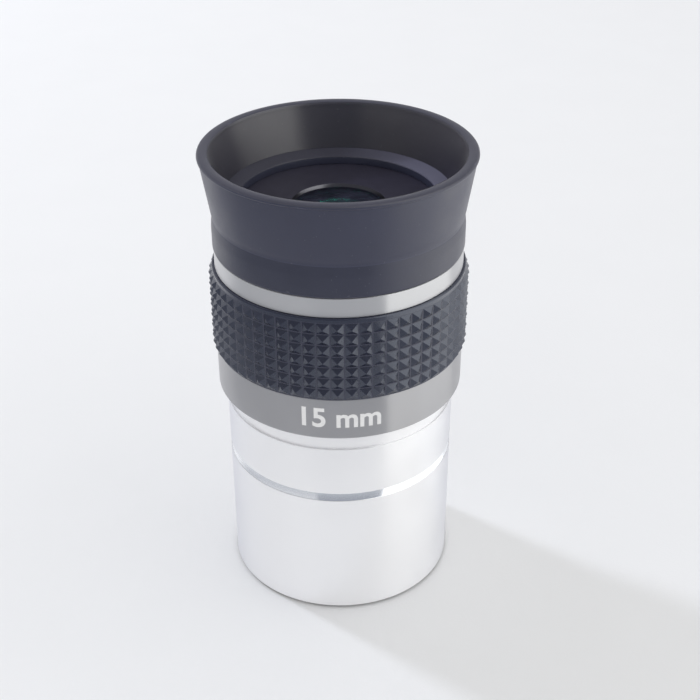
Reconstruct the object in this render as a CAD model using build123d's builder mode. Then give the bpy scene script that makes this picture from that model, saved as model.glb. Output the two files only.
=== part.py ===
from build123d import *
from math import sqrt
import os

# Telescope eyepiece with two cemented doublets, focal length about 15 mm, for 1.25 inch focusers.
# Millimetres. The optical axis is +Z, and z = 0 is the open end of the barrel.

# ---- driving dimensions ----

# Barrel
BARREL_RADIUS = 31.75 / 2
BARREL_STEP_Z = 27.8
BARREL_BORE_RADIUS = 13.6
POLISHED_RING_Z = 19.25
POLISHED_RING_HEIGHT = 1.25
POLISHED_RING_DEPTH = 0.08
NECK_RADIUS = 15.6
FILTER_THREAD_RADIUS = 13.925
FILTER_THREAD_DEPTH = 4.9
RELIEF_RADIUS = 14.35
RELIEF_HEIGHT = 0.8
SPIGOT_RADIUS = 14.6
SPIGOT_HEIGHT = 4.0
STOP_POCKET_RADIUS = 13.5
STOP_LEDGE_RADIUS = 12.6
STOP_LEDGE_Z = 31.0
STOP_LEDGE_HEIGHT = 1.5

# Field stop
STOP_APERTURE_RADIUS = 6.6
STOP_THICKNESS = 1.2
STOP_EDGE_THICKNESS = 0.3
STOP_BEVEL_WIDTH = 3.0

# Body shell
SHELL_BOTTOM_Z = 30.3
LOWER_BAND_RADIUS = 16.97
UPPER_BAND_RADIUS = 16.65
GRIP_BOTTOM_Z = 36.4
GRIP_TOP_Z = 48.3
GRIP_SEAT_RADIUS = 15.9
UPPER_BAND_TOP_Z = 50.95
SHELL_TOP_Z = 54.0
SHELL_NECK_RADIUS = 14.9
SHELL_BORE_RADIUS = 13.1
SOCKET_DEPTH = 4.7
BAND_EDGE_CHAMFER = 0.25

# Grip ring
GRIP_ROWS = 7
GRIP_PEAK_RADIUS = 17.5
GRIP_ROOT_RADIUS = 17.08
GRIP_TOP_EDGE_HEIGHT = 0.55
GRIP_BOTTOM_EDGE_HEIGHT = 0.1

# Lens cell
CELL_TOP_Z = 56.15
CELL_FLANGE_RADIUS = 15.6
CELL_COLLAR_HEIGHT = 4.0
CELL_TUBE_RADIUS = 9.4
CELL_TUBE_BOTTOM_Z = 39.15
EYE_APERTURE_RADIUS = 6.05
EYE_BEVEL_WIDTH = 0.25
EYE_BEVEL_DEPTH = 0.4
LENS_SHOULDER_THICKNESS = 0.7

# Lenses: two equal cemented doublets with their crown sides facing each other
LENS_RADIUS = 7.25
CROWN_FACE_CURVE = 11.3
CEMENT_CURVE = 13.5
FLINT_CENTRE_THICKNESS = 1.2
CROWN_EDGE_THICKNESS = 0.8
DOUBLET_AIR_GAP = 0.3
SPACER_INNER_RADIUS = 6.6
RETAINER_INNER_RADIUS = 6.5
RETAINER_HEIGHT = 2.0
RETAINER_SLOT_WIDTH = 0.9
RETAINER_SLOT_DEPTH = 0.8

# Rubber eyecup
CUP_RADIUS = 16.76
CUP_WAIST_RADIUS = 16.62
CUP_WAIST_Z = 55.3
CUP_LIP_TOP_Z = 57.3
CUP_LIP_INNER_RADIUS = 13.0
CUP_SHOULDER_RADIUS = 15.0
CUP_SHOULDER_Z = 57.8
CUP_EDGE_FILLET = 0.3
FLARE_ROOT_RADIUS = 16.84
FLARE_MIDDLE_RADIUS = 17.42
RIM_RADIUS = 18.15
RIM_Z = 63.9
RIM_WALL = 1.5
RIM_FILLET = 0.25

# Clearances
TURNING_CLEARANCE = 0.05
THREAD_CLEARANCE = 0.08
BORE_CLEARANCE = 0.02
MOUTH_CHAMFER = 0.4

# ---- derived heights ----

SPIGOT_TOP_Z = SHELL_BOTTOM_Z + SPIGOT_HEIGHT
CELL_BORE_RADIUS = LENS_RADIUS + BORE_CLEARANCE
COLLAR_BOTTOM_Z = SHELL_TOP_Z - CELL_COLLAR_HEIGHT
EYE_FLINT_TOP_Z = CELL_TOP_Z - LENS_SHOULDER_THICKNESS


def sag(curve_radius, height):
    """Depth of a spherical face at a height from the axis."""
    return curve_radius - sqrt(curve_radius**2 - height**2)


CROWN_FACE_SAG = sag(CROWN_FACE_CURVE, LENS_RADIUS)
CEMENT_SAG = sag(CEMENT_CURVE, LENS_RADIUS)
CROWN_CENTRE_THICKNESS = CEMENT_SAG + CROWN_EDGE_THICKNESS + CROWN_FACE_SAG
EYE_CEMENT_Z = EYE_FLINT_TOP_Z - FLINT_CENTRE_THICKNESS
EYE_CROWN_BOTTOM_Z = EYE_CEMENT_Z - CROWN_CENTRE_THICKNESS
FIELD_CROWN_TOP_Z = EYE_CROWN_BOTTOM_Z - DOUBLET_AIR_GAP
FIELD_CEMENT_Z = FIELD_CROWN_TOP_Z - CROWN_CENTRE_THICKNESS
FIELD_FLINT_BOTTOM_Z = FIELD_CEMENT_Z - FLINT_CENTRE_THICKNESS


def face_arc(vertex_z, curve_radius, side):
    """Lens face from the axis to the edge. Side is +1 if it rises towards the edge, -1 if it falls."""
    middle = LENS_RADIUS / 2
    return ThreePointArc(
        (0, vertex_z),
        (middle, vertex_z + side * sag(curve_radius, middle)),
        (LENS_RADIUS, vertex_z + side * sag(curve_radius, LENS_RADIUS)),
    )


def save(part, name):
    """Labels a finished piece and writes it as one STEP file."""
    part.label = name
    export_step(part, f"parts/{name}.step")


os.makedirs("parts", exist_ok=True)

# ---- barrel: the tube that slides into a focuser ----
# A filter thread is inside its mouth. Its threaded spigot screws up into the body shell.

with BuildPart() as barrel:
    with BuildSketch(Plane.XZ):
        with BuildLine():
            Polyline(
                (FILTER_THREAD_RADIUS, 0),
                (BARREL_RADIUS, 0),
                (BARREL_RADIUS, POLISHED_RING_Z),
                (BARREL_RADIUS - POLISHED_RING_DEPTH, POLISHED_RING_Z),
                (BARREL_RADIUS - POLISHED_RING_DEPTH, POLISHED_RING_Z + POLISHED_RING_HEIGHT),
                (BARREL_RADIUS, POLISHED_RING_Z + POLISHED_RING_HEIGHT),
                (BARREL_RADIUS, BARREL_STEP_Z),
                (NECK_RADIUS, BARREL_STEP_Z),
                (NECK_RADIUS, SHELL_BOTTOM_Z),
                (SPIGOT_RADIUS, SHELL_BOTTOM_Z),
                (SPIGOT_RADIUS, SPIGOT_TOP_Z),
                (STOP_POCKET_RADIUS, SPIGOT_TOP_Z),
                (STOP_POCKET_RADIUS, STOP_LEDGE_Z),
                (STOP_LEDGE_RADIUS, STOP_LEDGE_Z),
                (STOP_LEDGE_RADIUS, STOP_LEDGE_Z - STOP_LEDGE_HEIGHT),
                (BARREL_BORE_RADIUS, STOP_LEDGE_Z - STOP_LEDGE_HEIGHT),
                (BARREL_BORE_RADIUS, FILTER_THREAD_DEPTH + RELIEF_HEIGHT),
                (RELIEF_RADIUS, FILTER_THREAD_DEPTH + RELIEF_HEIGHT),
                (RELIEF_RADIUS, FILTER_THREAD_DEPTH),
                (FILTER_THREAD_RADIUS, FILTER_THREAD_DEPTH),
                close=True,
            )
        make_face()
    revolve(axis=Axis.Z)
    mouth_edges = barrel.faces().sort_by(Axis.Z)[0].edges()
    chamfer(mouth_edges, MOUTH_CHAMFER)
    spigot_edge = barrel.edges().group_by(Axis.Z)[-1].sort_by(SortBy.RADIUS)[-1]
    chamfer(spigot_edge, MOUTH_CHAMFER)

save(barrel.part, "barrel")

# ---- field stop: a bevelled ring that lies on the barrel's inner ledge ----

with BuildPart() as field_stop:
    with BuildSketch(Plane.XZ):
        with BuildLine():
            Polyline(
                (STOP_APERTURE_RADIUS, STOP_LEDGE_Z + STOP_THICKNESS),
                (STOP_POCKET_RADIUS - TURNING_CLEARANCE, STOP_LEDGE_Z + STOP_THICKNESS),
                (STOP_POCKET_RADIUS - TURNING_CLEARANCE, STOP_LEDGE_Z + BORE_CLEARANCE),
                (STOP_APERTURE_RADIUS + STOP_BEVEL_WIDTH, STOP_LEDGE_Z + BORE_CLEARANCE),
                (STOP_APERTURE_RADIUS, STOP_LEDGE_Z + STOP_THICKNESS - STOP_EDGE_THICKNESS),
                close=True,
            )
        make_face()
    revolve(axis=Axis.Z)

save(field_stop.part, "field_stop")

# ---- body shell: the turned metal body with its two bright bands and the seat of the grip ----

with BuildPart() as body_shell:
    with BuildSketch(Plane.XZ):
        with BuildLine():
            Polyline(
                (SPIGOT_RADIUS + THREAD_CLEARANCE, SHELL_BOTTOM_Z),
                (LOWER_BAND_RADIUS, SHELL_BOTTOM_Z),
                (LOWER_BAND_RADIUS, GRIP_BOTTOM_Z),
                (GRIP_SEAT_RADIUS, GRIP_BOTTOM_Z),
                (GRIP_SEAT_RADIUS, GRIP_TOP_Z),
                (UPPER_BAND_RADIUS, GRIP_TOP_Z),
                (UPPER_BAND_RADIUS, UPPER_BAND_TOP_Z),
                (SHELL_NECK_RADIUS, UPPER_BAND_TOP_Z),
                (SHELL_NECK_RADIUS, SHELL_TOP_Z),
                (SHELL_BORE_RADIUS, SHELL_TOP_Z),
                (SHELL_BORE_RADIUS, SHELL_BOTTOM_Z + SOCKET_DEPTH),
                (SPIGOT_RADIUS + THREAD_CLEARANCE, SHELL_BOTTOM_Z + SOCKET_DEPTH),
                close=True,
            )
        make_face()
    revolve(axis=Axis.Z)
    bottom_edge = body_shell.edges().group_by(Axis.Z)[0].sort_by(SortBy.RADIUS)[-1]
    chamfer(bottom_edge, BAND_EDGE_CHAMFER)

save(body_shell.part, "body_shell")

# ---- grip ring: a rubber sleeve with rows of ridges, stretched into its seat ----

with BuildPart() as grip_ring:
    ridge_bottom = GRIP_BOTTOM_Z + GRIP_BOTTOM_EDGE_HEIGHT
    ridge_height = (GRIP_TOP_Z - GRIP_TOP_EDGE_HEIGHT - ridge_bottom) / GRIP_ROWS
    ridge_points = [(GRIP_ROOT_RADIUS, ridge_bottom)]
    for row in range(GRIP_ROWS):
        valley_z = ridge_bottom + row * ridge_height
        ridge_points.append((GRIP_PEAK_RADIUS, valley_z + ridge_height / 2))
        ridge_points.append((GRIP_ROOT_RADIUS, valley_z + ridge_height))
    with BuildSketch(Plane.XZ):
        with BuildLine():
            Polyline(
                (GRIP_SEAT_RADIUS + BORE_CLEARANCE, GRIP_TOP_Z - BORE_CLEARANCE),
                (GRIP_SEAT_RADIUS + BORE_CLEARANCE, GRIP_BOTTOM_Z + BORE_CLEARANCE),
                (GRIP_ROOT_RADIUS, GRIP_BOTTOM_Z + BORE_CLEARANCE),
                *ridge_points,
                (GRIP_ROOT_RADIUS, GRIP_TOP_Z - BORE_CLEARANCE),
                close=True,
            )
        make_face()
    revolve(axis=Axis.Z)

save(grip_ring.part, "grip_ring")

# ---- lens cell: the black insert that holds the lenses, with the flange that the eyecup grips ----

with BuildPart() as lens_cell:
    with BuildSketch(Plane.XZ):
        with BuildLine():
            Polyline(
                (CELL_BORE_RADIUS, CELL_TUBE_BOTTOM_Z),
                (CELL_TUBE_RADIUS, CELL_TUBE_BOTTOM_Z),
                (CELL_TUBE_RADIUS, COLLAR_BOTTOM_Z),
                (SHELL_BORE_RADIUS, COLLAR_BOTTOM_Z),
                (SHELL_BORE_RADIUS, SHELL_TOP_Z),
                (CELL_FLANGE_RADIUS, SHELL_TOP_Z),
                (CELL_FLANGE_RADIUS, CELL_TOP_Z),
                (EYE_APERTURE_RADIUS + EYE_BEVEL_WIDTH, CELL_TOP_Z),
                (EYE_APERTURE_RADIUS, CELL_TOP_Z - EYE_BEVEL_DEPTH),
                (EYE_APERTURE_RADIUS, EYE_FLINT_TOP_Z),
                (CELL_BORE_RADIUS, EYE_FLINT_TOP_Z),
                close=True,
            )
        make_face()
    revolve(axis=Axis.Z)

save(lens_cell.part, "lens_cell")

# ---- eye doublet: flat flint outside, biconvex crown inside ----

with BuildPart() as eye_lens_flint:
    with BuildSketch(Plane.XZ):
        with BuildLine():
            cement = face_arc(EYE_CEMENT_Z, CEMENT_CURVE, -1)
            Polyline(cement @ 0, (0, EYE_FLINT_TOP_Z), (LENS_RADIUS, EYE_FLINT_TOP_Z), cement @ 1)
        make_face()
    revolve(axis=Axis.Z)

save(eye_lens_flint.part, "eye_lens_flint")

with BuildPart() as eye_lens_crown:
    with BuildSketch(Plane.XZ):
        with BuildLine():
            cement = face_arc(EYE_CEMENT_Z, CEMENT_CURVE, -1)
            inner_face = face_arc(EYE_CROWN_BOTTOM_Z, CROWN_FACE_CURVE, 1)
            Line(cement @ 0, inner_face @ 0)
            Line(cement @ 1, inner_face @ 1)
        make_face()
    revolve(axis=Axis.Z)

save(eye_lens_crown.part, "eye_lens_crown")

# ---- doublet spacer: the ring that keeps the two doublets apart ----

spacer_sag = sag(CROWN_FACE_CURVE, SPACER_INNER_RADIUS)
spacer_top_z = EYE_CROWN_BOTTOM_Z + spacer_sag
spacer_bottom_z = FIELD_CROWN_TOP_Z - spacer_sag

with BuildPart() as doublet_spacer:
    with BuildSketch(Plane.XY.offset(spacer_bottom_z)):
        Circle(LENS_RADIUS)
        Circle(SPACER_INNER_RADIUS, mode=Mode.SUBTRACT)
    extrude(amount=spacer_top_z - spacer_bottom_z)

save(doublet_spacer.part, "doublet_spacer")

# ---- field doublet: the eye doublet turned over ----

with BuildPart() as field_lens_crown:
    with BuildSketch(Plane.XZ):
        with BuildLine():
            inner_face = face_arc(FIELD_CROWN_TOP_Z, CROWN_FACE_CURVE, -1)
            cement = face_arc(FIELD_CEMENT_Z, CEMENT_CURVE, 1)
            Line(inner_face @ 0, cement @ 0)
            Line(inner_face @ 1, cement @ 1)
        make_face()
    revolve(axis=Axis.Z)

save(field_lens_crown.part, "field_lens_crown")

with BuildPart() as field_lens_flint:
    with BuildSketch(Plane.XZ):
        with BuildLine():
            cement = face_arc(FIELD_CEMENT_Z, CEMENT_CURVE, 1)
            Polyline(
                cement @ 0,
                (0, FIELD_FLINT_BOTTOM_Z),
                (LENS_RADIUS, FIELD_FLINT_BOTTOM_Z),
                cement @ 1,
            )
        make_face()
    revolve(axis=Axis.Z)

save(field_lens_flint.part, "field_lens_flint")

# ---- lens retainer: the slotted ring that is screwed in under the field lens ----

with BuildPart() as lens_retainer:
    with BuildSketch(Plane.XY.offset(FIELD_FLINT_BOTTOM_Z - RETAINER_HEIGHT)):
        Circle(CELL_BORE_RADIUS)
        Circle(RETAINER_INNER_RADIUS, mode=Mode.SUBTRACT)
    extrude(amount=RETAINER_HEIGHT)
    with BuildSketch(Plane.XY.offset(FIELD_FLINT_BOTTOM_Z - RETAINER_HEIGHT)):
        Rectangle(2 * CELL_BORE_RADIUS, RETAINER_SLOT_WIDTH)
    extrude(amount=RETAINER_SLOT_DEPTH, mode=Mode.SUBTRACT)

save(lens_retainer.part, "lens_retainer")

# ---- eyecup seat: the straight part of the rubber eyecup, buttoned over the cell's flange ----

CUP_BOTTOM_Z = UPPER_BAND_TOP_Z + TURNING_CLEARANCE
CUP_NECK_RADIUS = SHELL_NECK_RADIUS + TURNING_CLEARANCE
CUP_FLANGE_RADIUS = CELL_FLANGE_RADIUS + TURNING_CLEARANCE

with BuildPart() as eyecup_seat:
    with BuildSketch(Plane.XZ):
        with BuildLine():
            Polyline(
                (CUP_NECK_RADIUS, CUP_BOTTOM_Z),
                (CUP_RADIUS, CUP_BOTTOM_Z),
                (CUP_RADIUS, SHELL_TOP_Z),
                (CUP_WAIST_RADIUS, CUP_WAIST_Z),
                (FLARE_ROOT_RADIUS, CUP_LIP_TOP_Z),
                (CUP_SHOULDER_RADIUS, CUP_SHOULDER_Z),
                (CUP_LIP_INNER_RADIUS, CUP_LIP_TOP_Z),
                (CUP_LIP_INNER_RADIUS, CELL_TOP_Z + TURNING_CLEARANCE),
                (CUP_FLANGE_RADIUS, CELL_TOP_Z + TURNING_CLEARANCE),
                (CUP_FLANGE_RADIUS, SHELL_TOP_Z - TURNING_CLEARANCE),
                (CUP_NECK_RADIUS, SHELL_TOP_Z - TURNING_CLEARANCE),
                close=True,
            )
        make_face()
    revolve(axis=Axis.Z)
    cup_bottom_edge = eyecup_seat.edges().group_by(Axis.Z)[0].sort_by(SortBy.RADIUS)[-1]
    fillet(cup_bottom_edge, CUP_EDGE_FILLET)

save(eyecup_seat.part, "eyecup_seat")

# ---- eyecup flare: the part of the same moulding that folds down over the seat ----

flare_root_z = CUP_LIP_TOP_Z + TURNING_CLEARANCE

with BuildPart() as eyecup_flare:
    with BuildSketch(Plane.XZ):
        with BuildLine():
            outside = ThreePointArc(
                (FLARE_ROOT_RADIUS, flare_root_z),
                (FLARE_MIDDLE_RADIUS, (flare_root_z + RIM_Z) / 2),
                (RIM_RADIUS, RIM_Z),
            )
            Polyline(
                outside @ 1,
                (RIM_RADIUS - RIM_WALL, RIM_Z),
                (CUP_SHOULDER_RADIUS, CUP_SHOULDER_Z + TURNING_CLEARANCE),
                outside @ 0,
            )
        make_face()
    revolve(axis=Axis.Z)
    rim_edges = eyecup_flare.edges().group_by(Axis.Z)[-1]
    fillet(rim_edges, RIM_FILLET)

save(eyecup_flare.part, "eyecup_flare")
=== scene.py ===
import math

import bmesh
import bpy
import numpy as np
from mathutils import Matrix, Vector


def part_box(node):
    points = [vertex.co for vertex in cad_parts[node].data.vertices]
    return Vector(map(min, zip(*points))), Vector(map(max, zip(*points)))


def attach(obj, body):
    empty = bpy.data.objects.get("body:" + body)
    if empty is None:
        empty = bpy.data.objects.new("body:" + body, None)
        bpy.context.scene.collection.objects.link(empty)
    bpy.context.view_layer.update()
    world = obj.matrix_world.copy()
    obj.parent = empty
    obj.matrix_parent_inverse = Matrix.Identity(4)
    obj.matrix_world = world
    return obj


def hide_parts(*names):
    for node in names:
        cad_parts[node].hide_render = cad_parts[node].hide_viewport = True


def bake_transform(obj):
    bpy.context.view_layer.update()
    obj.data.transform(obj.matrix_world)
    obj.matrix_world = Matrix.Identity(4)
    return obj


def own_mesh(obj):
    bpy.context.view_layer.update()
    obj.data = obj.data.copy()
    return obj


# Telescope eyepiece. Metres throughout; the optical axis is +Z and the barrel's open end is at z = 0.

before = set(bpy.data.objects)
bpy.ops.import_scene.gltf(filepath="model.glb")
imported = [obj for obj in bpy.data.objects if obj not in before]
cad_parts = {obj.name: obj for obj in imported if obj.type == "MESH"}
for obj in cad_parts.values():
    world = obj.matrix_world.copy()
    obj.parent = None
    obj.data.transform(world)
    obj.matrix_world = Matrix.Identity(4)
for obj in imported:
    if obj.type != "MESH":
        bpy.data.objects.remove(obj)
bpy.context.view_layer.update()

MM = 0.001
TURN = 2 * math.pi
WELD = 1e-7
SEGMENTS = 240
SMOOTH_ANGLE = math.radians(32)

# ---------------------------------------------------------------- outlines


def section(node):
    """Outline of a round CAD node in the half plane +X: (radius, height) corners, counter-clockwise."""
    cut = bmesh.new()
    cut.from_mesh(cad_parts[node].data)
    bmesh.ops.remove_doubles(cut, verts=cut.verts, dist=WELD)
    geometry = cut.verts[:] + cut.edges[:] + cut.faces[:]
    bmesh.ops.bisect_plane(
        cut,
        geom=geometry,
        dist=WELD,
        plane_co=(0, 0, 0),
        plane_no=(0, 1, 0),
        clear_inner=True,
        clear_outer=True,
    )
    bmesh.ops.remove_doubles(cut, verts=cut.verts, dist=WELD)
    start = min((v for v in cut.verts if v.co.x > 0), key=lambda v: (v.co.z, v.co.x))
    loop = [start]
    edge = start.link_edges[0]
    current = edge.other_vert(start)
    while current is not start:
        loop.append(current)
        edge = next(e for e in current.link_edges if e is not edge)
        current = edge.other_vert(current)
    corners = [Vector((v.co.x, v.co.z)) for v in loop]
    cut.free()
    neighbours = zip(corners[-1:] + corners[:-1], corners, corners[1:] + corners[:1])
    corners = [corner for before, corner, after in neighbours if not straight(before, corner, after)]
    if area(corners) < 0:
        corners.reverse()
    return corners


def straight(before, corner, after):
    """Whether the outline goes straight on at a corner."""
    return (corner - before).angle(after - corner, 0) < math.radians(0.5)


def area(corners):
    """Signed area of a closed outline, positive when it runs counter-clockwise."""
    following = corners[1:] + corners[:1]
    return sum(a.x * b.y - b.x * a.y for a, b in zip(corners, following)) / 2


def by_height(wall):
    """Sorting key for walls: their low end, then their radius."""
    return wall[1], wall[0]


def walls(corners):
    """Upright stretches of an outline as (radius, low, high), from the bottom up: outer, then inner."""
    outer, inner = [], []
    for here, there in zip(corners, corners[1:] + corners[:1]):
        if abs(here.x - there.x) < WELD and abs(here.y - there.y) > WELD:
            found = (here.x, min(here.y, there.y), max(here.y, there.y))
            (outer if there.y > here.y else inner).append(found)
    return sorted(outer, key=by_height), sorted(inner, key=by_height)


def rounded(corners, radius, steps=3):
    """The closed outline with every corner softened by a short curve."""
    out = []
    for i, corner in enumerate(corners):
        back = corners[i - 1] - corner
        ahead = corners[(i + 1) % len(corners)] - corner
        angle = back.angle(ahead)
        reach = min(radius / math.tan(angle / 2), 0.42 * back.length, 0.42 * ahead.length)
        first = corner + back.normalized() * reach
        last = corner + ahead.normalized() * reach
        for k in range(steps + 1):
            t = k / steps
            out.append(first * (1 - t) ** 2 + corner * 2 * t * (1 - t) + last * t**2)
    return out


def refined(corners, low, high, step):
    """The outline with extra points along its long stretches between two heights."""
    out = []
    for here, there in zip(corners, corners[1:] + corners[:1]):
        out.append(here)
        inside = min(here.y, there.y) > low - WELD and max(here.y, there.y) < high + WELD
        count = int((there - here).length / step)
        if inside and count > 1:
            out += [here.lerp(there, k / count) for k in range(1, count)]
    return out


def smooth_curve(points, steps):
    """Points of a Catmull-Rom curve through the given ones."""
    padded = [points[0] * 2 - points[1], *points, points[-1] * 2 - points[-2]]
    out = []
    for a, b, c, d in zip(padded, padded[1:], padded[2:], padded[3:]):
        for k in range(steps):
            t = k / steps
            square = a * 2 - b * 5 + c * 4 - d
            cube = b * 3 - a - c * 3 + d
            out.append((b * 2 + (c - a) * t + square * t**2 + cube * t**3) / 2)
    return out + [points[-1]]


# ---------------------------------------------------------------- meshes


def piece(name, vertices, faces, materials, face_materials=None):
    """A new mesh object, welded, with its faces turned outwards and smooth between sharp edges."""
    mesh = bpy.data.meshes.new(name)
    mesh.from_pydata(vertices, [], faces)
    for m in materials:
        mesh.materials.append(m)
    if face_materials is not None:
        mesh.polygons.foreach_set("material_index", np.array(face_materials, np.int32))
    work = bmesh.new()
    work.from_mesh(mesh)
    bmesh.ops.remove_doubles(work, verts=work.verts, dist=WELD / 10)
    bmesh.ops.dissolve_degenerate(work, edges=work.edges, dist=WELD / 10)
    bmesh.ops.recalc_face_normals(work, faces=work.faces)
    work.to_mesh(mesh)
    work.free()
    mesh.shade_smooth()
    mesh.set_sharp_from_angle(angle=SMOOTH_ANGLE)
    obj = bpy.data.objects.new(name, mesh)
    bpy.context.scene.collection.objects.link(obj)
    return obj


def lathe(name, corners, materials, shape=None, paint=None, angles=None):
    """A closed outline turned about the axis.
    shape(radius, height, angle) gives a new radius.
    paint(middle, outward) gives the index of a face's material."""
    if angles is None:
        angles = np.arange(SEGMENTS) * TURN / SEGMENTS
    radius, angle = np.meshgrid([c.x for c in corners], angles, indexing="ij")
    height = np.meshgrid([c.y for c in corners], angles, indexing="ij")[0]
    if shape:
        radius = shape(radius, height, angle)
    grid = np.stack([radius * np.cos(angle), radius * np.sin(angle), height], axis=-1)
    rows, columns = radius.shape
    i, j = np.meshgrid(np.arange(rows), np.arange(columns), indexing="ij")
    i, j = i.ravel(), j.ravel()
    up, onward = (i + 1) % rows, (j + 1) % columns
    here, beside = i * columns + j, i * columns + onward
    faces = np.stack([here, beside, up * columns + onward, up * columns + j], axis=-1)
    indices = None
    if paint:
        per_row = []
        for here, there in zip(corners, corners[1:] + corners[:1]):
            along = there - here
            per_row.append(paint((here + there) / 2, Vector((along.y, -along.x)).normalized()))
        indices = np.repeat(per_row, columns)
    return piece(name, grid.reshape(-1, 3).tolist(), faces.tolist(), materials, indices)


def even_shading(obj):
    """Keeps flat and straight faces clean beside their rounded edges."""
    modifier = obj.modifiers.new("even_shading", "WEIGHTED_NORMAL")
    modifier.keep_sharp = True
    modifier.weight = 100
    return obj


THREAD_SLOPE = 1.35
THREAD_FLAT = 0.1


def thread(wall, pitch, depth):
    """Shape of a right-hand screw thread on one wall. Depth is above 0 when its turns are cut outwards."""
    wall_radius, low, high = wall

    def cut(radius, height, angle):
        turns = (height / pitch - angle / TURN) % 1
        profile = np.clip(THREAD_SLOPE * np.abs(2 * turns - 1) - THREAD_FLAT, 0, 1)
        fade = np.clip(np.minimum(height - low, high - height) / pitch, 0, 1)
        on_wall = np.abs(radius - wall_radius) < 0.01 * MM
        return np.where(on_wall, radius + depth * profile * fade, radius)

    return cut


# ---------------------------------------------------------------- shader nodes

ALONG_AXIS = 0.25
RING_TILT = 0.36
GLASS_IOR = 1.52
DUST_COLOUR = (0.3, 0.31, 0.33, 1)


class Nodes:
    """Short calls for adding and linking the nodes of one tree."""

    def __init__(self, tree):
        self.tree = tree

    def add(self, kind, *inputs, **settings):
        """A node with its first inputs filled: sockets are linked, values stored, None skipped."""
        made = self.tree.nodes.new(kind)
        for key, value in settings.items():
            setattr(made, key, value)
        for socket, value in zip(made.inputs, inputs):
            self.put(socket, value)
        return made

    def put(self, socket, value):
        if value is None:
            return
        if isinstance(value, bpy.types.NodeSocket):
            self.tree.links.new(value, socket)
        else:
            socket.default_value = value

    def math(self, operation, *values, clamp=False):
        return self.add("ShaderNodeMath", *values, operation=operation, use_clamp=clamp).outputs[0]

    def ramp(self, value, low, high):
        """0 to 1 as the value goes from low to high."""
        smooth = {"interpolation_type": "SMOOTHSTEP"}
        return self.add("ShaderNodeMapRange", value, low, high, 0.0, 1.0, **smooth).outputs[0]

    def mix(self, factor, a, b):
        made = self.add("ShaderNodeMix", data_type="RGBA")
        for socket, value in zip((made.inputs[0], made.inputs[6], made.inputs[7]), (factor, a, b)):
            self.put(socket, value)
        return made.outputs[2]

    def place(self):
        """(x, y, z) of the surface point on the part at rest."""
        return self.add("ShaderNodeTexCoord").outputs["Object"]

    def round_place(self):
        """(angle, height, radius) of the surface point, for marks that run round the axis."""
        xyz = self.add("ShaderNodeSeparateXYZ", self.place()).outputs
        angle = self.math("ARCTAN2", xyz[1], xyz[0])
        return self.add("ShaderNodeCombineXYZ", angle, xyz[2], self.reach(xyz)).outputs[0]

    def reach(self, xyz):
        """Distance from the axis."""
        squares = [self.math("POWER", xyz[axis], 2.0) for axis in (0, 1)]
        return self.math("SQRT", self.math("ADD", *squares))

    def noise(self, vector, scale, detail=2.0, roughness=0.5):
        made = self.add("ShaderNodeTexNoise", vector)
        made.inputs["Scale"].default_value = scale
        made.inputs["Detail"].default_value = detail
        made.inputs["Roughness"].default_value = roughness
        return made.outputs["Fac"]

    def scaled(self, vector, scale):
        return self.add("ShaderNodeVectorMath", vector, scale, operation="MULTIPLY").outputs[0]

    def bump(self, height, distance):
        made = self.add("ShaderNodeBump")
        self.put(made.inputs["Strength"], 1.0)
        self.put(made.inputs["Distance"], distance)
        self.put(made.inputs["Height"], height)
        return made.outputs[0]

    def tool_marks(self, distance, per_metre=14000.0):
        """Bump of fine turning marks: rings that vary along the height and the radius."""
        lines = self.scaled(self.round_place(), (0.6, per_metre, per_metre))
        return self.bump(self.noise(lines, 1.0, 3.0, 0.6), distance)


class Shader(Nodes):
    """A new node material with its Principled shader."""

    def __init__(self, name):
        self.material = bpy.data.materials.new(name)
        self.material.use_nodes = True
        super().__init__(self.material.node_tree)
        self.surface = self.tree.nodes["Principled BSDF"]
        self.output = self.tree.nodes["Material Output"]

    def set(self, **values):
        """Values or sockets for the Principled shader, named as in Blender with _ for a space."""
        for key, value in values.items():
            self.put(self.surface.inputs[key.replace("_", " ")], value)

    def shine_along_axis(self, amount):
        """Spreads the shine along the part's axis."""
        tangent = self.add("ShaderNodeTangent", direction_type="RADIAL", axis="Z").outputs[0]
        self.set(Anisotropic=amount, Anisotropic_Rotation=ALONG_AXIS, Tangent=tangent)

    def replace_surface(self, shader):
        """Another shader in place of the Principled one."""
        self.tree.links.new(shader, self.output.inputs[0])
        self.tree.nodes.remove(self.surface)


def tint(colour, factor=1.0):
    """A colour as a node wants it, made paler or darker."""
    return (*[c * factor for c in colour], 1)


def grey(value):
    return (value, value, value, 1)


def turned_metal(name, colour, roughness, anisotropy, marks, metallic=1.0, edge=(1, 1, 1)):
    """Metal turned on a lathe: the shine spreads along the axis, across the fine rings left by the tool.
    Edge tints what it mirrors at a grazing angle."""
    s = Shader(name)
    smudge = s.noise(s.place(), 160.0, 4.0, 0.55)
    rough = s.add("ShaderNodeMapRange", smudge, 0.3, 0.7, roughness * 0.9, roughness * 1.12).outputs[0]
    s.set(Base_Color=s.mix(smudge, tint(colour, 0.97), tint(colour)), Metallic=metallic, Roughness=rough)
    s.set(Specular_Tint=tint(edge), Normal=s.tool_marks(marks))
    s.shine_along_axis(anisotropy)
    return s.material


def polished_ring_metal():
    """The barrel's narrow polished band. Reflections keep sharp ends round the tube, and its rolled
    surface faces a little upwards."""
    s = Shader("polished_chrome")
    s.set(Base_Color=(0.96, 0.98, 1, 1), Metallic=1.0, Roughness=0.22)
    s.shine_along_axis(0.97)
    normal = s.add("ShaderNodeNewGeometry").outputs["Normal"]
    tilted = s.add("ShaderNodeVectorMath", normal, (0, 0, RING_TILT)).outputs[0]
    s.set(Normal=s.add("ShaderNodeVectorMath", tilted, operation="NORMALIZE").outputs[0])
    return s.material


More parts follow.
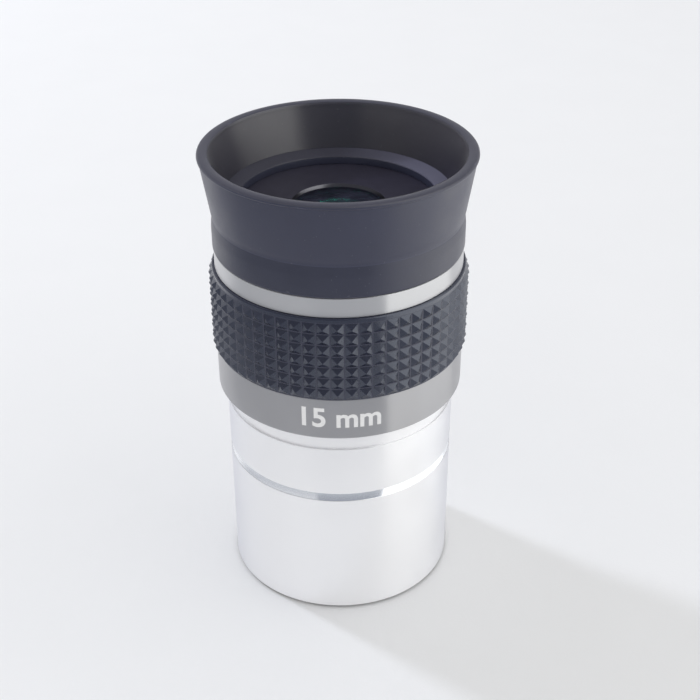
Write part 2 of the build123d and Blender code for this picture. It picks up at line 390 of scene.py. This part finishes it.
def black_anodised(name, colour, roughness):
    """Matte black metal with faint turning rings."""
    s = Shader(name)
    cloud = s.noise(s.place(), 900.0, 3.0)
    s.set(Base_Color=s.mix(cloud, tint(colour), tint(colour, 1.6)), Roughness=roughness)
    s.set(Normal=s.tool_marks(0.004 * MM, 9000.0))
    return s.material


def rubber(name, colour, roughness, grain=0.012, shine=0.6, spread=0.0, gloss=(1, 1, 1), painted_light_side=1.0):
    """Moulded rubber: fine matte grain, faint clouding, a few specks of dust and paler worn edges.
    Spread above 0 stretches the shine along the axis, gloss tints it, and the side factor above 1 makes
    the +X side that much paler, as painted light on that side."""
    s = Shader(name)
    cloud = s.noise(s.place(), 220.0, 4.0, 0.6)
    fine = s.noise(s.place(), 6000.0, 3.0, 0.7)
    dust = s.ramp(s.noise(s.place(), 2600.0, 1.0), 0.735, 0.78)
    base = s.mix(cloud, tint(colour, 0.82), tint(colour, 1.14))
    worn = s.ramp(s.add("ShaderNodeNewGeometry").outputs["Pointiness"], 0.53, 0.62)
    # Painted light: the +X side is made paler by the side factor.
    side = s.ramp(s.add("ShaderNodeSeparateXYZ", s.place()).outputs[0], -2 * MM, 12 * MM)
    base = s.mix(side, base, s.scaled(base, (painted_light_side, painted_light_side, painted_light_side)))
    base = s.mix(s.math("MULTIPLY", worn, 0.35), base, tint(colour, 2.4))
    base = s.mix(s.math("MULTIPLY", dust, 0.12), base, DUST_COLOUR)
    rough = s.add("ShaderNodeMapRange", cloud, 0.3, 0.7, roughness - 0.05, roughness + 0.05).outputs[0]
    s.set(Base_Color=base, Roughness=rough, Specular_IOR_Level=shine, Specular_Tint=tint(gloss))
    s.set(Sheen_Weight=0.05, Sheen_Roughness=0.4, Normal=s.bump(fine, grain * MM))
    s.shine_along_axis(spread)
    return s.material


def coated_glass(name, coating, strength, haze=0.0):
    """Lens glass. Its antireflection coating colours the little it reflects; haze is a trace of dust."""
    s = Shader(name)
    fresnel = s.add("ShaderNodeFresnel", GLASS_IOR).outputs[0]
    reflected = s.math("MULTIPLY", fresnel, strength, clamp=True)
    mottle = s.noise(s.place(), 500.0, 2.0)
    colour = s.mix(mottle, tint(coating), tint(coating, 0.85))
    through = s.add("ShaderNodeBsdfRefraction", (0.97, 0.99, 0.98, 1), 0.0, GLASS_IOR).outputs[0]
    mirror = s.add("ShaderNodeBsdfGlossy", colour, 0.02).outputs[0]
    mixed = s.add("ShaderNodeMixShader", reflected, through, mirror).outputs[0]
    dust = s.add("ShaderNodeBsdfDiffuse", (0.62, 0.64, 1.0, 1)).outputs[0]
    mixed = s.add("ShaderNodeMixShader", s.math("MULTIPLY", mottle, haze), mixed, dust).outputs[0]
    s.replace_surface(mixed)
    return s.material


def optical_cement():
    """The clear cement between two lens elements, which bends no light."""
    s = Shader("optical_cement")
    cloud = s.noise(s.place(), 700.0, 2.0)
    clear = s.mix(cloud, (0.97, 0.98, 0.96, 1), (0.99, 0.99, 0.98, 1))
    s.replace_surface(s.add("ShaderNodeBsdfTransparent", clear).outputs[0])
    return s.material


def white_ink():
    """Printed marking."""
    s = Shader("white_ink")
    patch = s.noise(s.place(), 3000.0, 3.0)
    s.set(Base_Color=s.mix(patch, grey(0.74), grey(0.84)), Roughness=0.5)
    s.set(Normal=s.bump(patch, 0.004 * MM))
    return s.material


CHROME = (0.99, 0.99, 1.0)
COARSE_MARKS = 0.0016 * MM
FINE_MARKS = 0.001 * MM
BARREL_CHROME = turned_metal("barrel_chrome", CHROME, 0.36, 0.75, COARSE_MARKS, 0.58, (0.5, 0.52, 0.6))
# Painted light: a paler copy of the barrel chrome for the neck and spigot, less mirror-like and with paler
# grazing reflections, that lifts the shade under the shell's overhang.
NECK_CHROME_PAINTED_LIGHT = turned_metal("neck_chrome_painted_light", CHROME, 0.36, 0.75, COARSE_MARKS, 0.5, (0.7, 0.72, 0.8))
BODY_METAL = turned_metal("body_metal", (0.56, 0.565, 0.58), 0.32, 1.0, FINE_MARKS, 0.6)
FOOT_METAL = turned_metal("foot_metal", (0.3, 0.3, 0.3), 0.4, 0.3, FINE_MARKS)
LOWER_METAL = turned_metal("lower_metal", (0.43, 0.43, 0.445), 0.32, 1.0, FINE_MARKS, 0.7)
POLISHED = polished_ring_metal()
BLACK_METAL = black_anodised("black_metal", (0.023, 0.0215, 0.036), 0.5)
WORN_EDGE = turned_metal("worn_edge", (0.135, 0.135, 0.15), 0.3, 0.6, FINE_MARKS)
CUP_RUBBER = rubber("cup_rubber", (0.03, 0.033, 0.064), 0.42)
# Painted shade: the cup's inward faces get this darker copy of the cup rubber; its shine is also stretched
# along the axis.
CUP_INSIDE_SHADED = rubber("cup_inside_painted_shade", (0.0165, 0.015, 0.028), 0.38, 0.008, 1.5, 0.95)
# Painted light: the cup's upward faces get this paler copy of the cup rubber.
RIM_TOP_PAINTED_LIGHT = rubber("rim_top_painted_light", (0.05, 0.051, 0.075), 0.45)
# Painted shade: the seat gets this copy of the cup rubber, a little darker than the flare.
SEAT_RUBBER_SHADED = rubber("seat_rubber", (0.027, 0.03, 0.056), 0.42)
# Painted light: the ledge and the lip inside the seat get this paler copy of the cup rubber, paler still on
# the +X side.
LEDGE_PAINTED_LIGHT = rubber("ledge_painted_light", (0.05, 0.05, 0.072), 0.42, painted_light_side=2.5)
GRIP_RUBBER = rubber("grip_rubber", (0.009, 0.011, 0.027), 0.26, 0.005, 1.1, gloss=(0.82, 0.88, 1))
# Painted light: the flat grooves between the grip's pyramids get this paler rubber, standing in for the
# light they catch.
VALLEY_PAINTED_LIGHT = rubber("valley_painted_light", (0.04, 0.043, 0.072), 0.4, 0.006)
COATED_GREEN = coated_glass("coated_green", (0.12, 1.0, 0.74), 1.5)
COATED_TOP = coated_glass("coated_top", (0.3, 0.5, 1.0), 0.15, 0.06)
COATED_RED = coated_glass("coated_red", (0.9, 0.25, 0.3), 1.0)
CEMENT = optical_cement()
INK = white_ink()

# ---------------------------------------------------------------- barrel

BARREL_EDGE = 0.05 * MM
THREAD_PITCH = 0.75 * MM
THREAD_DEPTH = 0.42 * MM
FILTER_PITCH = 0.6 * MM
FILTER_DEPTH = 0.3 * MM
SOCKET_DEPTH = 0.4 * MM
THREAD_STEP = 0.09 * MM


def both(first, second):
    """Two shapes, one after the other."""
    return lambda radius, height, angle: second(first(radius, height, angle), height, angle)


def make_barrel():
    corners = section("barrel")
    outer, inner = walls(corners)
    polished, neck, spigot = outer[1], outer[-2], outer[-1]
    mouth = inner[0]
    tube_radius, tube_low = outer[0][:2]

    def paint(middle, outward):
        inside = middle.x < mouth[0] + 0.5 * MM and outward.x < 0.3 and middle.y > mouth[1]
        on_ring = polished[1] < middle.y < polished[2] and middle.x > tube_radius - 0.2 * MM
        foot = middle.y < tube_low + 0.05 * MM and middle.x > mouth[0] + 0.5 * MM
        return 1 if inside else 2 if on_ring else 3 if middle.y > neck[1] else 4 if foot else 0

    outline = rounded(corners, BARREL_EDGE)
    outline = refined(outline, spigot[1], spigot[2], THREAD_STEP)
    outline = refined(outline, mouth[1], mouth[2], THREAD_STEP)
    cuts = both(thread(spigot, THREAD_PITCH, -THREAD_DEPTH), thread(mouth, FILTER_PITCH, FILTER_DEPTH))
    metals = [BARREL_CHROME, BLACK_METAL, POLISHED, NECK_CHROME_PAINTED_LIGHT, FOOT_METAL]
    barrel = lathe("barrel_tube", outline, metals, cuts, paint)
    even_shading(barrel)
    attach(barrel, "barrel")
    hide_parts("barrel")


make_barrel()

# ---------------------------------------------------------------- body shell and its marking

SHELL_EDGE = 0.12 * MM
MARK_TEXT = "15 mm"
MARK_SIZE = 4.0 * MM
MARK_BOLD = 0.09 * MM
MARK_DEPTH = 0.03 * MM
MARK_STRIP = 0.25 * MM


def make_shell():
    corners = section("body_shell")
    outer, inner = walls(corners)
    socket = inner[0]

    def paint(middle, outward):
        inside = middle.x < outer[-1][0] - WELD and outward.x < 0.3
        return 1 if inside else 2 if middle.y < outer[0][2] else 0

    outline = refined(rounded(corners, SHELL_EDGE), socket[1], socket[2], THREAD_STEP)
    cuts = thread(socket, THREAD_PITCH, SOCKET_DEPTH)
    shell = lathe("shell_metal", outline, [BODY_METAL, BLACK_METAL, LOWER_METAL], cuts, paint)
    even_shading(shell)
    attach(shell, "housing")
    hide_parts("body_shell")
    return outer[0]


def make_mark(band):
    """The focal length in plain letters, printed on the lower band."""
    band_radius, low, high = band
    curve = bpy.data.curves.new("mark_text", "FONT")
    curve.body = MARK_TEXT
    curve.size = MARK_SIZE
    curve.align_x = "CENTER"
    curve.align_y = "CENTER"
    curve.offset = MARK_BOLD
    curve.extrude = MARK_DEPTH
    text = bpy.data.objects.new("mark_text", curve)
    bpy.context.scene.collection.objects.link(text)
    bpy.context.view_layer.update()
    mesh = bpy.data.meshes.new_from_object(text)
    bpy.data.objects.remove(text)
    work = bmesh.new()
    work.from_mesh(mesh)
    bmesh.ops.remove_doubles(work, verts=work.verts, dist=WELD)
    width = max(abs(v.co.x) for v in work.verts)
    for k in range(-int(width / MARK_STRIP), int(width / MARK_STRIP) + 1):
        geometry = work.verts[:] + work.edges[:] + work.faces[:]
        bmesh.ops.bisect_plane(work, geom=geometry, plane_co=(k * MARK_STRIP, 0, 0), plane_no=(1, 0, 0))
    bmesh.ops.dissolve_degenerate(work, edges=work.edges, dist=WELD)
    middle = (low + high) / 2
    for v in work.verts:
        angle = v.co.x / band_radius - math.pi / 2
        radius = band_radius + v.co.z
        v.co = Vector((radius * math.cos(angle), radius * math.sin(angle), middle + v.co.y))
    work.to_mesh(mesh)
    work.free()
    mesh.materials.clear()
    mesh.materials.append(INK)
    mark = bpy.data.objects.new("focal_length_mark", mesh)
    bpy.context.scene.collection.objects.link(mark)
    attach(mark, "housing")


lower_band = make_shell()
make_mark(lower_band)

# ---------------------------------------------------------------- grip ring

GRIP_COLUMNS = 60
GRIP_ROWS = 7
GRIP_VALLEY = 0.045
GRIP_APEX = 0.035
GRIP_HEIGHT = 0.46 * MM
GRIP_TOP_STRIP = 0.55 * MM
GRIP_BOTTOM_STRIP = 0.1 * MM
GRIP_EDGE = 0.1 * MM
GRIP_PHASE = math.radians(2.35)
CELL_STATIONS = (0.0, GRIP_VALLEY, 0.5 - GRIP_APEX, 0.5 + GRIP_APEX, 1 - GRIP_VALLEY)
CELL_LEVELS = np.array([0.0, 0.0, 1.0, 1.0, 0.0])


def make_grip():
    """Rubber sleeve covered with rows of small square pyramids."""
    low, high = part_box("grip_ring")
    root = max(c.x for c in section("grip_ring")) - GRIP_HEIGHT
    inner = min(c.x for c in section("grip_ring"))
    bottom, top = low.z + GRIP_BOTTOM_STRIP, high.z - GRIP_TOP_STRIP
    row_height = (top - bottom) / GRIP_ROWS
    heights = [bottom + (row + at) * row_height for row in range(GRIP_ROWS) for at in CELL_STATIONS]
    heights.append(top)
    row_level = np.concatenate([np.tile(CELL_LEVELS, GRIP_ROWS), [0.0]])
    column_level = np.tile(CELL_LEVELS, GRIP_COLUMNS)
    angles = [(column + at) * TURN / GRIP_COLUMNS for column in range(GRIP_COLUMNS) for at in CELL_STATIONS]
    angles = np.array(angles) - math.pi / 2 + GRIP_PHASE
    sleeve = [
        Vector((root, high.z - GRIP_EDGE)),
        Vector((root - GRIP_EDGE, high.z)),
        Vector((inner, high.z)),
        Vector((inner, low.z)),
        Vector((root - GRIP_EDGE, low.z)),
        Vector((root, low.z + GRIP_EDGE / 2)),
    ]
    outline = [Vector((root, z)) for z in heights] + sleeve
    rows, columns = len(outline), len(angles)
    level = np.zeros((rows, columns))
    level[: len(heights)] = np.minimum.outer(row_level, column_level)
    radius = np.array([c.x for c in outline])[:, None] + GRIP_HEIGHT * level
    z = np.array([c.y for c in outline])[:, None] + 0 * level
    grid = np.stack([radius * np.cos(angles), radius * np.sin(angles), z], axis=-1)
    faces, paint = [], []
    for i in range(rows):
        up = (i + 1) % rows
        pattern = up < len(heights) and i < len(heights)
        for j in range(columns):
            right = (j + 1) % columns
            a, b = i * columns + j, i * columns + right
            c, d = up * columns + right, up * columns + j
            corner = level[i, j] + level[up, right] != level[i, right] + level[up, j]
            if corner and level[i, j] == level[up, right]:
                faces += [(a, b, d), (b, c, d)]
            elif corner:
                faces += [(a, b, c), (a, c, d)]
            else:
                faces.append((a, b, c, d))
            # Flat groove faces between the pyramids take the paler valley tone: painted light.
            flat = level[i, j] + level[up, right] + level[i, right] + level[up, j] == 0
            paint += [1 if pattern and flat and i < up else 0] * (len(faces) - len(paint))
    rubbers = [GRIP_RUBBER, VALLEY_PAINTED_LIGHT]
    grip = piece("grip_sleeve", grid.reshape(-1, 3).tolist(), faces, rubbers, paint)
    grip.data.set_sharp_from_angle(angle=math.radians(12))
    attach(grip, "housing")
    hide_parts("grip_ring")


make_grip()

# ---------------------------------------------------------------- eyecup

SHOULDER_STEP = 0.3 * MM
FLARE_ROOT_HEIGHT = 0.9 * MM
RIM_CROWN = 0.05 * MM
RIM_BEAD = 0.55 * MM
RIM_UNDERCUT = 0.1 * MM
LINING_SEAM = 0.07 * MM
SLEEVE_ROOM = 0.09 * MM
SKIN_WALL = 0.05 * MM
FLARE_STEPS = 16
CURVE_STEPS = 4


def make_eyecup():
    """One moulding in three pieces: a seat on the flange, and a flare made of an outer skin
    and an inner lining."""
    seat_corners = section("eyecup_seat")
    seat_outer, seat_inner = walls(seat_corners)
    neck, flange, lip = seat_inner
    seat_low, seat_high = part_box("eyecup_seat")
    flare_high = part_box("eyecup_flare")[1]
    side_radius, side_top = seat_outer[0][0], seat_outer[0][2]
    above = [c for c in seat_corners if c.y > side_top + WELD and c.x > flange[0]]
    waist = min(above, key=lambda c: c.x)
    flare_corners = section("eyecup_flare")
    shoulder = min(c.x for c in flare_corners)
    rim_radius, rim_z = flare_high.x, flare_high.z
    inner_rim = min(c.x for c in flare_corners if c.y > rim_z - 0.5 * MM)
    ledge_z = seat_high.z
    lip_z = lip[2]
    ledge_slope = (ledge_z - lip_z) / (shoulder - lip[0])

    straight_top = Vector((side_radius, side_top - 0.6 * MM))
    side_middle = Vector((side_radius - 0.02 * MM, straight_top.y + 0.7 * MM))
    side = smooth_curve([straight_top, side_middle, waist], 5)
    seat = [
        Vector((neck[0], seat_low.z)),
        Vector((side_radius - 0.3 * MM, seat_low.z)),
        Vector((side_radius - 0.08 * MM, seat_low.z + 0.08 * MM)),
        Vector((side_radius, seat_low.z + 0.3 * MM)),
        *side,
        Vector((waist.x - 0.15 * MM, waist.y + 0.4 * MM)),
        Vector((shoulder + 1.0 * MM, ledge_z - 0.3 * MM)),
        Vector((shoulder + SHOULDER_STEP, ledge_z)),
        Vector((shoulder, ledge_z - 0.02 * MM)),
        Vector((lip[0] + 0.3 * MM, lip_z + 0.3 * MM * ledge_slope)),
        Vector((lip[0] + 0.08 * MM, lip_z)),
        Vector((lip[0], lip_z - 0.15 * MM)),
        Vector((lip[0], flange[2])),
        Vector((flange[0], flange[2])),
        Vector((flange[0], neck[2])),
        Vector((neck[0], neck[2])),
    ]

    # The ledge faces take the paler ledge tone: painted light.
    def seat_paint(middle, outward):
        return 1 if middle.x < shoulder + SHOULDER_STEP and middle.y > lip_z - 0.1 * MM else 0

    seat_piece = lathe("eyecup_seat_rubber", seat, [SEAT_RUBBER_SHADED, LEDGE_PAINTED_LIGHT], paint=seat_paint)
    even_shading(seat_piece)
    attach(seat_piece, "eyecup")
    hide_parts("eyecup_seat")

    root = Vector((waist.x + 0.13 * MM, waist.y + FLARE_ROOT_HEIGHT))
    rim_outer = Vector((rim_radius - RIM_UNDERCUT - 0.08 * MM, rim_z - RIM_BEAD))
    cone = [root.lerp(rim_outer, k / FLARE_STEPS) for k in range(1, FLARE_STEPS + 1)]
    rim = smooth_curve(
        [
            rim_outer,
            Vector((rim_radius - 0.02 * MM, rim_z - 0.75 * RIM_BEAD)),
            Vector((rim_radius, rim_z - 0.45 * RIM_BEAD)),
            Vector((rim_radius - 0.07 * MM, rim_z - 0.12 * MM)),
            Vector((rim_radius - 0.25 * MM, rim_z)),
            Vector(((rim_radius + inner_rim) / 2, rim_z + RIM_CROWN)),
            Vector((inner_rim + 0.2 * MM, rim_z - 0.02 * MM)),
            Vector((inner_rim, rim_z - 0.18 * MM)),
            Vector((inner_rim - 0.1 * MM, rim_z - 0.6 * MM)),
        ],
        CURVE_STEPS,
    )
    seam = Vector((inner_rim + LINING_SEAM, rim_z - 0.03 * MM))
    sleeve_bore = seam.x + SLEEVE_ROOM
    skin_back = [Vector((min(sleeve_bore, p.x - SKIN_WALL), p.y)) for p in [*cone[::-1], root]]
    groove = Vector((waist.x + 0.045 * MM, waist.y + 0.45 * MM))
    skin = [
        *smooth_curve([waist, groove, root], CURVE_STEPS),
        *cone,
        *[p for p in rim[1:] if p.x > seam.x],
        seam,
        *skin_back,
        Vector((waist.x - SKIN_WALL, waist.y + 0.05 * MM)),
    ]
    inner_foot = Vector((shoulder, ledge_z + 0.02 * MM))
    funnel = [rim[-1].lerp(inner_foot, k / FLARE_STEPS) for k in range(1, FLARE_STEPS + 1)]
    lining = [
        seam,
        *[p for p in rim if p.x < seam.x],
        *funnel,
        Vector((shoulder + 0.1 * MM, ledge_z - 0.3 * MM)),
        Vector((waist.x - 0.2 * MM, waist.y + 0.05 * MM)),
        Vector((waist.x - SKIN_WALL, ledge_z)),
    ]

    # Upward faces take the paler rim tone (painted light), inward faces the darker inside tone (painted
    # shade).
    def flare_paint(middle, outward):
        return 2 if outward.y > 0.5 else 1 if outward.x < -0.3 else 0

    rubbers = [CUP_RUBBER, CUP_INSIDE_SHADED, RIM_TOP_PAINTED_LIGHT]
    flare_piece = lathe("eyecup_flare_rubber", skin, rubbers, paint=flare_paint)
    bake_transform(flare_piece)
    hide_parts("eyecup_flare")
    lining_piece = lathe("eyecup_flare_lining", lining, rubbers, paint=flare_paint)
    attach(lining_piece, "eyecup")
    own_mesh(lining_piece)


make_eyecup()

# ---------------------------------------------------------------- lens cell and lenses

CELL_EDGE = 0.08 * MM
LENS_BEVEL = 0.12 * MM
ARC_STEPS = 16


def make_cell():
    corners = section("lens_cell")
    mouth = min(c.x for c in corners if c.y > corners[0].y + 1 * MM)
    hole_edge = max(c.y for c in corners if c.x < mouth + WELD)

    def paint(middle, outward):
        return 1 if outward.x < -0.3 and outward.y > 0.3 and middle.y > hole_edge - WELD else 0

    cell = lathe("lens_cell_black", rounded(corners, CELL_EDGE), [BLACK_METAL, WORN_EDGE], paint=paint)
    even_shading(cell)
    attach(cell, "housing")
    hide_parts("lens_cell")


def lens_face(vertex_z, edge_z, radius):
    """Points of a spherical or flat face, from the axis to the edge."""
    depth = edge_z - vertex_z
    if abs(depth) < WELD:
        return [Vector((radius * k / ARC_STEPS, vertex_z)) for k in range(ARC_STEPS + 1)]
    curve = (radius**2 + depth**2) / (2 * abs(depth))
    points = []
    for k in range(ARC_STEPS + 1):
        height = radius * k / ARC_STEPS
        sag = curve - math.sqrt(curve**2 - height**2)
        points.append(Vector((height, vertex_z + math.copysign(sag, depth))))
    return points


def edge_heights(node):
    """Lowest and highest point of a lens's cylindrical edge."""
    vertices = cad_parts[node].data.vertices
    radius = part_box(node)[1].x
    rim = [v.co.z for v in vertices if math.hypot(v.co.x, v.co.y) > radius * 0.995]
    return min(rim), max(rim)


def make_lens(node, name, slot, low_vertex, high_vertex, glass, cement_side):
    """One lens element. Cement_side is 1 when its upper face is cemented, -1 when its lower face is."""
    low_edge, high_edge = edge_heights(node)
    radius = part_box(node)[1].x
    lower = lens_face(low_vertex, low_edge, radius - LENS_BEVEL)
    upper = lens_face(high_vertex, high_edge, radius - LENS_BEVEL)
    side = [Vector((radius, low_edge + LENS_BEVEL)), Vector((radius, high_edge - LENS_BEVEL))]
    outline = lower + side + upper[::-1]
    ground = radius - LENS_BEVEL / 2

    def paint(middle, outward):
        return 1 if middle.x > ground else 2 if outward.y * cement_side > 0 else 0

    lens = lathe(name, outline, [glass, BLACK_METAL, CEMENT], paint=paint)
    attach(lens, "housing")
    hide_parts(node)


def make_lenses():
    eye_crown_low, eye_crown_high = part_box("eye_lens_crown")
    field_crown_low, field_crown_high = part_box("field_lens_crown")
    eye_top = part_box("eye_lens_flint")[1].z
    field_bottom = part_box("field_lens_flint")[0].z
    eye_low, eye_cement = eye_crown_low.z, eye_crown_high.z
    field_cement, field_high = field_crown_low.z, field_crown_high.z
    flint, crown = "flint_glass", "crown_glass"
    make_lens("eye_lens_flint", "eye_flint_glass", flint, eye_cement, eye_top, COATED_TOP, -1)
    make_lens("eye_lens_crown", "eye_crown_glass", crown, eye_low, eye_cement, COATED_GREEN, 1)
    make_lens("field_lens_crown", "field_crown_glass", crown, field_cement, field_high, COATED_RED, -1)
    make_lens("field_lens_flint", "field_flint_glass", flint, field_bottom, field_cement, COATED_GREEN, 1)


def dress_cad_ring(node):
    """A ring that keeps its CAD shape: soft edges and a black turned finish."""
    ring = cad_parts[node]
    ring.data.materials.clear()
    ring.data.materials.append(BLACK_METAL)
    bevel = ring.modifiers.new("soft_edges", "BEVEL")
    bevel.width = CELL_EDGE
    bevel.segments = 2
    bevel.limit_method = "ANGLE"


make_cell()
make_lenses()
for ring_node in ("doublet_spacer", "lens_retainer", "field_stop"):
    dress_cad_ring(ring_node)

# ---------------------------------------------------------------- studio

FLOOR_SIZE = 30.0
LAMP_DISTANCE = 1.0
CAMERA_PLACE = (0.00097, -0.1491, 0.12445)
CAMERA_PITCH = math.radians(31.357)
CAMERA_YAW = math.radians(0.184)
CAMERA_ROLL = math.radians(-0.175)
CAMERA_LENS = 64.0
SHEET_NEAR = 0.072
SHEET_FAR = 0.095
BACKDROP = (0.86, 0.87, 0.89, 1)
FRONT_LIGHT = (0.35, 0.37, 0.42, 1)
SIDE_LIGHT = (0.84, 0.84, 0.86, 1)
SHEET_LIGHT = (1.05, 1.05, 1.07, 1)
PANEL_LIGHT = (1.75, 1.75, 1.72, 1)
HIGH_LIGHT = (0.24, 0.24, 0.27, 1)
SOFT_ABOVE = (0.82, 0.82, 0.82, 1)
SOFT_LOW = (0.95, 0.945, 0.935, 1)
SOFT_PANEL = (1.35, 1.35, 1.35, 1)
EDGE_SOFTNESS = 1.5
FRONT_FROM = -21.5
SHEET_FROM = -105.0
SHEET_SOFTNESS = 15.0
PANEL_FROM = 40.0
PANEL_TO = 112.0


def window(s, value, low, high, low_softness=EDGE_SOFTNESS):
    """1 between two limits and 0 outside, with soft ends."""
    rise = s.ramp(value, low - low_softness, low + low_softness)
    return s.math("SUBTRACT", rise, s.ramp(value, high - EDGE_SOFTNESS, high + EDGE_SOFTNESS))


def bearing(s, x, y):
    """Direction round the axis in degrees: 0 faces the camera, 90 is on its right."""
    return s.math("DEGREES", s.math("ARCTAN2", x, s.math("MULTIPLY", y, -1.0)))


def make_floor():
    """Pale floor that the barrel stands on, unscrewed or not.
    Beyond SHEET_NEAR, glossy rays see a painted reflection on it instead: the floor glows with a bright
    sheet behind, a panel on the right and a dark gap in front, further out than the camera looks."""
    s = Shader("floor")
    cloud = s.noise(s.place(), 60.0, 3.0)
    s.set(Base_Color=s.mix(cloud, (0.815, 0.82, 0.83, 1), (0.835, 0.84, 0.85, 1)), Roughness=0.6)
    s.set(Normal=s.bump(s.noise(s.place(), 2500.0, 2.0), 0.02 * MM))
    xyz = s.add("ShaderNodeSeparateXYZ", s.place()).outputs
    around = bearing(s, xyz[0], xyz[1])
    front = window(s, around, SHEET_FROM, PANEL_FROM, SHEET_SOFTNESS)
    light = s.mix(front, SHEET_LIGHT, FRONT_LIGHT)
    light = s.mix(window(s, around, PANEL_FROM, PANEL_TO), light, PANEL_LIGHT)
    # Painted reflection: a glow that only glossy rays see.
    painted_panel_glow = s.add("ShaderNodeEmission", light, 1.0).outputs[0]
    mirrored = s.add("ShaderNodeLightPath").outputs["Is Glossy Ray"]
    factor = s.math("MULTIPLY", mirrored, s.ramp(s.reach(xyz), SHEET_NEAR, SHEET_FAR))
    mixed = s.add("ShaderNodeMixShader", factor, s.surface.outputs[0], painted_panel_glow).outputs[0]
    s.tree.links.new(mixed, s.output.inputs[0])
    half = FLOOR_SIZE / 2
    square = [(-half, -half, 0), (half, -half, 0), (half, half, 0), (-half, half, 0)]
    floor = piece("floor", square, [(0, 1, 2, 3)], [s.material])
    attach(floor, "barrel")


def make_world():
    """Soft light from all round. Shiny surfaces see a white panel on the right and a dark gap in front."""
    world = bpy.data.worlds.new("studio")
    bpy.context.scene.world = world
    world.use_nodes = True
    s = Nodes(world.node_tree)
    s.tree.nodes.clear()
    direction = s.add("ShaderNodeTexCoord").outputs["Generated"]
    xyz = s.add("ShaderNodeSeparateXYZ", direction).outputs
    around = bearing(s, xyz[0], xyz[1])
    elevation = s.math("DEGREES", s.math("ARCSINE", xyz[2]))
    light = s.mix(window(s, around, FRONT_FROM, PANEL_FROM), SIDE_LIGHT, FRONT_LIGHT)
    light = s.mix(s.ramp(elevation, 10.0, 30.0), light, HIGH_LIGHT)
    panel = window(s, around, PANEL_FROM, PANEL_TO)
    light = s.mix(panel, light, PANEL_LIGHT)
    low = s.ramp(elevation, 60.0, 30.0)
    soft = s.mix(low, SOFT_ABOVE, SOFT_LOW)
    soft = s.mix(s.math("MULTIPLY", panel, low), soft, SOFT_PANEL)
    path = s.add("ShaderNodeLightPath").outputs
    colour = s.mix(path["Is Glossy Ray"], soft, light)
    colour = s.mix(path["Is Camera Ray"], colour, BACKDROP)
    background = s.add("ShaderNodeBackground", colour, 1.0).outputs[0]
    output = s.add("ShaderNodeOutputWorld")
    s.tree.links.new(background, output.inputs[0])


def add_lamp(name, towards, width, height, energy):
    """Area lamp that the camera can't see, shining on the part from LAMP_DISTANCE away."""
    lamp = bpy.data.lights.new(name, "AREA")
    lamp.shape = "ELLIPSE"
    lamp.size = width
    lamp.size_y = height
    lamp.energy = energy
    obj = bpy.data.objects.new(name, lamp)
    towards = Vector(towards).normalized()
    obj.location = towards * LAMP_DISTANCE
    obj.rotation_euler = towards.to_track_quat("Z", "Y").to_euler()
    obj.visible_camera = False
    bpy.context.scene.collection.objects.link(obj)
    return obj


def make_lamps():
    """A soft key behind on the left throws the pale shadow.
    A strip above in front is mirrored only in the lenses."""
    key = add_lamp("key", (-0.8, 0.6, 0.72), 0.11, 0.11, 3.1)
    key.data.color = (0.84, 0.88, 1.0)
    key.visible_glossy = False
    strip = add_lamp("strip", (0.118, -0.78, 0.62), 1.2, 0.11, 0.4)
    strip.visible_diffuse = False
    strip.visible_glossy = False


def make_camera():
    """Camera in front of the part and above it, looking down at about 31 degrees."""
    data = bpy.data.cameras.new("camera")
    data.sensor_width = 36.0
    data.lens = CAMERA_LENS
    data.clip_start = 0.01
    data.clip_end = 50.0
    camera = bpy.data.objects.new("camera", data)
    ahead = Vector((math.sin(CAMERA_YAW), math.cos(CAMERA_YAW), 0))
    forward = ahead * math.cos(CAMERA_PITCH) - Vector((0, 0, math.sin(CAMERA_PITCH)))
    level_right = Vector((math.cos(CAMERA_YAW), -math.sin(CAMERA_YAW), 0))
    level_up = level_right.cross(forward)
    right = level_right * math.cos(CAMERA_ROLL) + level_up * math.sin(CAMERA_ROLL)
    up = level_up * math.cos(CAMERA_ROLL) - level_right * math.sin(CAMERA_ROLL)
    turn = Matrix((right, up, -forward)).transposed()
    camera.matrix_world = Matrix.Translation(CAMERA_PLACE) @ turn.to_4x4()
    bpy.context.scene.collection.objects.link(camera)
    bpy.context.scene.camera = camera


make_floor()
make_world()
make_lamps()
make_camera()
bpy.context.scene.view_settings.view_transform = "Standard"
